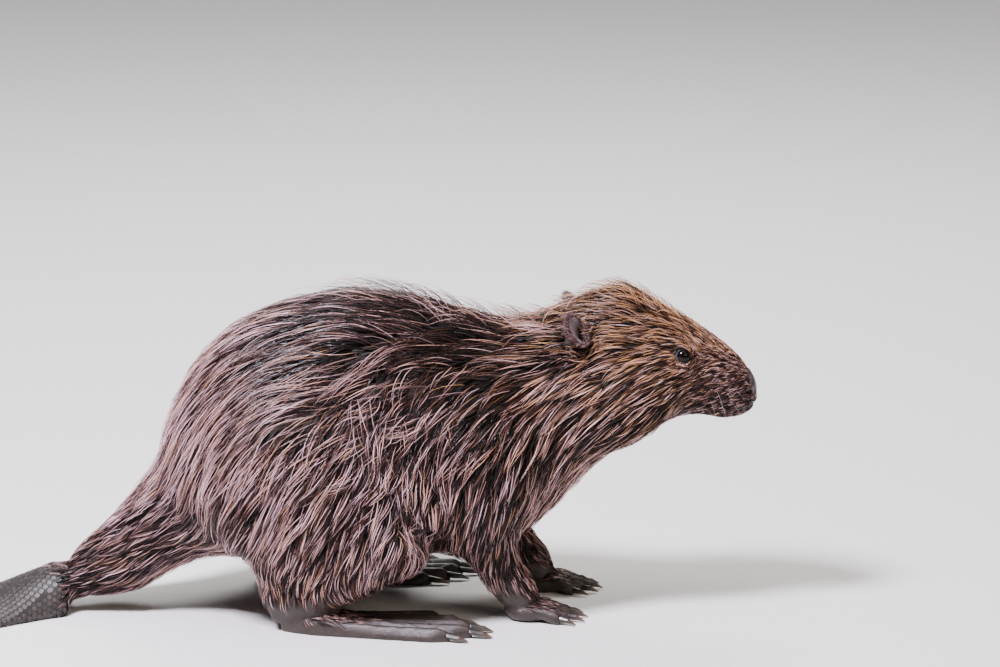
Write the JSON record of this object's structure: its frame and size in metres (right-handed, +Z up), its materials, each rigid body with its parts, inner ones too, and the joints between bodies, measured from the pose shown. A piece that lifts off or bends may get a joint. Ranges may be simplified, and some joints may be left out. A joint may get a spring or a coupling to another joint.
{
  "type": "beaver",
  "caption": "Still life-size museum model of an adult beaver crouched on four feet, back arched, blunt head held level, flat scaly tail laid behind on the floor",
  "frame": {"origin": "on the floor, under the centre of the model's box", "axes": "+X towards the nose along the body, +Y to the animal's left, +Z up"},
  "size_m": [0.8248, 0.2804, 0.2888],
  "materials": {
    "coat": "wet brown fur clumped in pointed locks",
    "paw_skin": "dark bare skin under short fur",
    "foot_skin": "dark scaly webbed skin",
    "tail_skin": "dark grey scaly skin",
    "nose_skin": "damp bare skin",
    "ear_skin": "thin skin with short fur",
    "eye": "wet, dark brown",
    "claw": "dark horn"
  },
  "bodies": {
    "root": {"head": "coat", "lower_jaw": "coat", "neck": "coat", "chest": "coat", "belly": "coat", "rump": "coat", "tail_root": "coat", "upper_arm_left": "coat", "forearm_left": "coat", "thigh_left": "coat", "shank_left": "coat", "upper_arm_right": "coat", "forearm_right": "coat", "thigh_right": "coat", "shank_right": "coat", "fore_paw_left": "paw_skin", "hind_foot_left": "foot_skin", "fore_paw_right": "paw_skin", "hind_foot_right": "foot_skin", "tail_paddle": "tail_skin", "nose_pad": "nose_skin", "ear_left": "ear_skin", "eye_left": "eye", "ear_right": "ear_skin", "eye_right": "eye", "claw_fore_left_1": "claw", "claw_fore_left_2": "claw", "claw_fore_left_3": "claw", "claw_fore_left_4": "claw", "claw_fore_left_5": "claw", "claw_hind_left_1": "claw", "claw_hind_left_2": "claw", "claw_hind_left_3": "claw", "claw_hind_left_4": "claw", "claw_hind_left_5": "claw", "claw_fore_right_1": "claw", "claw_fore_right_2": "claw", "claw_fore_right_3": "claw", "claw_fore_right_4": "claw", "claw_fore_right_5": "claw", "claw_hind_right_1": "claw", "claw_hind_right_2": "claw", "claw_hind_right_3": "claw", "claw_hind_right_4": "claw", "claw_hind_right_5": "claw"}
  },
  "joints": []
}
